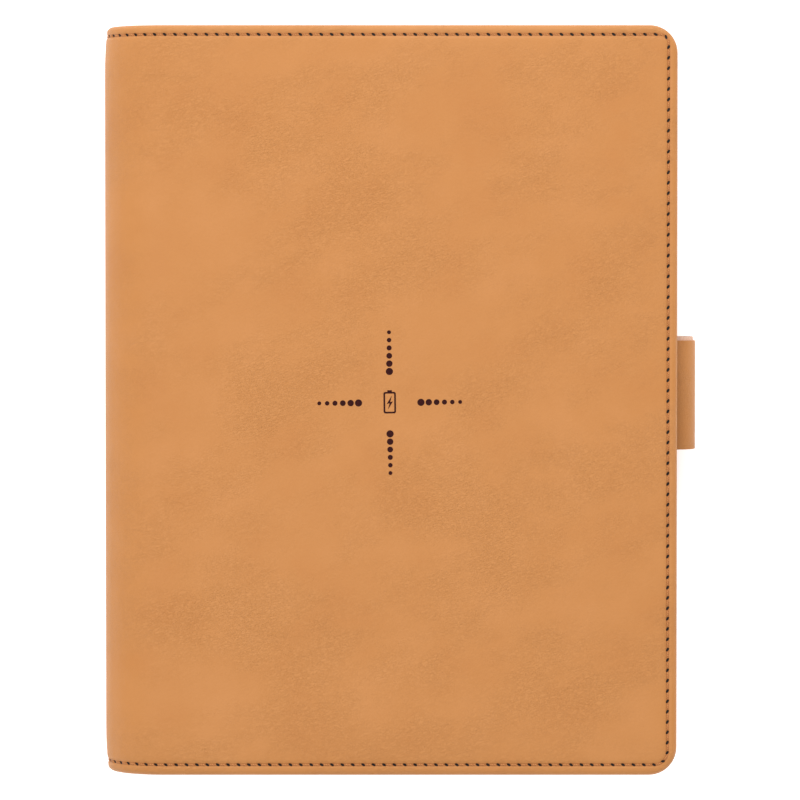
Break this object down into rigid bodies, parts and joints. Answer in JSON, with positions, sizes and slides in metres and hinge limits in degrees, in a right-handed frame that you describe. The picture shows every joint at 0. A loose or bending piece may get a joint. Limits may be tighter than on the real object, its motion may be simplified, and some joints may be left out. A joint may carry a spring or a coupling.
{
  "type": "wireless charging ring organiser",
  "caption": "Tan leather ring organiser with a wireless charging power bank in its padded front cover, punched paper on rings and a pen loop.",
  "frame": {"origin": "on the flat outer face of the back cover, under the middle of the front cover, with the book closed", "axes": "+X from the spine to the fore edge, +Y towards the head of the book, +Z out of the front cover, up from the table"},
  "size_m": [0.1831, 0.23, 0.03],
  "materials": {
    "leather": "smooth tan coated leather with fine wrinkles and a soft satin sheen",
    "lining": "matt tan suede-like lining",
    "foam": "thin pale padding foam",
    "board": "grey binder's board",
    "paper": "uncoated cream writing paper",
    "steel": "nickel plated steel",
    "case_plastic": "fine matt black moulded plastic",
    "button_plastic": "satin grey moulded plastic",
    "clear_plastic": "milky clear moulded plastic",
    "copper": "enamelled copper wire",
    "ferrite": "dark grey sintered ferrite",
    "circuit": "green lacquered circuit board",
    "foil": "laminated aluminium pouch"
  },
  "bodies": {
    "back_cover": {"back_cover_leather": "leather", "back_cover_board": "board", "back_lining": "lining", "back_pocket": "lining", "pen_loop": "leather", "ring_base_plate": "steel", "ring_rivet_1": "steel", "ring_rivet_2": "steel", "paper_stack": "paper"},
    "spine_stave_1": {"spine_leather_1": "leather", "spine_stiffener_1": "board", "spine_lining_1": "lining"},
    "spine_stave_2": {"spine_leather_2": "leather", "spine_stiffener_2": "board", "spine_lining_2": "lining"},
    "spine_stave_3": {"spine_leather_3": "leather", "spine_stiffener_3": "board", "spine_lining_3": "lining"},
    "front_cover": {"front_cover_leather": "leather", "front_foam_pad": "foam", "front_cover_board": "board", "front_lining": "lining", "power_bank_case_top": "case_plastic", "power_bank_case_bottom": "case_plastic", "charging_coil": "copper", "coil_ferrite_sheet": "ferrite", "battery_cell": "foil", "charger_circuit_board": "circuit", "power_switch": "case_plastic", "indicator_light_guide": "clear_plastic", "usb_a_socket": "steel", "usb_c_socket": "steel", "case_screw_1": "steel", "case_screw_2": "steel", "case_screw_3": "steel", "case_screw_4": "steel"},
    "rings_left": {"ring_carrier_left": "steel", "ring_left_1": "steel", "ring_left_2": "steel", "ring_left_3": "steel", "ring_left_4": "steel", "ring_left_5": "steel", "ring_left_6": "steel"},
    "rings_right": {"ring_carrier_right": "steel", "ring_right_1": "steel", "ring_right_2": "steel", "ring_right_3": "steel", "ring_right_4": "steel", "ring_right_5": "steel", "ring_right_6": "steel"},
    "lever_head": {"ring_lever_head": "steel"},
    "lever_tail": {"ring_lever_tail": "steel"},
    "power_button": {"power_button": "button_plastic"}
  },
  "joints": [
    {"name": "cover_hinge_1", "type": "hinge", "parent": "back_cover", "child": "spine_stave_1", "pos_m": [-0.07849, 0, 0.00175], "axis": [0, -1, 0], "range_deg": [0, 45]},
    {"name": "cover_hinge_2", "type": "hinge", "parent": "spine_stave_1", "child": "spine_stave_2", "pos_m": [-0.08777, 0, 0.01038], "axis": [0, -1, 0], "range_deg": [0, 45]},
    {"name": "cover_hinge_3", "type": "hinge", "parent": "spine_stave_2", "child": "spine_stave_3", "pos_m": [-0.08777, 0, 0.01962], "axis": [0, -1, 0], "range_deg": [0, 45]},
    {"name": "cover_hinge_4", "type": "hinge", "parent": "spine_stave_3", "child": "front_cover", "pos_m": [-0.07849, 0, 0.02825], "axis": [0, -1, 0], "range_deg": [0, 45]},
    {"name": "rings_left_open", "type": "hinge", "parent": "back_cover", "child": "rings_left", "pos_m": [-0.0667, 0, 0.0046], "axis": [0, -1, 0], "range_deg": [0, 14]},
    {"name": "rings_right_open", "type": "hinge", "parent": "back_cover", "child": "rings_right", "pos_m": [-0.0561, 0, 0.0046], "axis": [0, 1, 0], "range_deg": [0, 14]},
    {"name": "lever_head_press", "type": "hinge", "parent": "back_cover", "child": "lever_head", "pos_m": [-0.0614, 0.1062, 0.0055], "axis": [-1, 0, 0], "range_deg": [0, 28]},
    {"name": "lever_tail_press", "type": "hinge", "parent": "back_cover", "child": "lever_tail", "pos_m": [-0.0614, -0.1062, 0.0055], "axis": [1, 0, 0], "range_deg": [0, 28]},
    {"name": "power_button_press", "type": "slide", "parent": "front_cover", "child": "power_button", "axis": [0, 0, 1], "range_m": [0, 0.0006], "stiffness_N_per_m": 400, "springref_m": -0.0005}
  ],
  "couplings": [
    {"joint": "rings_right_open", "follows": "rings_left_open", "ratio": 1},
    {"joint": "lever_head_press", "follows": "rings_left_open", "ratio": 2},
    {"joint": "lever_tail_press", "follows": "rings_left_open", "ratio": 2}
  ]
}
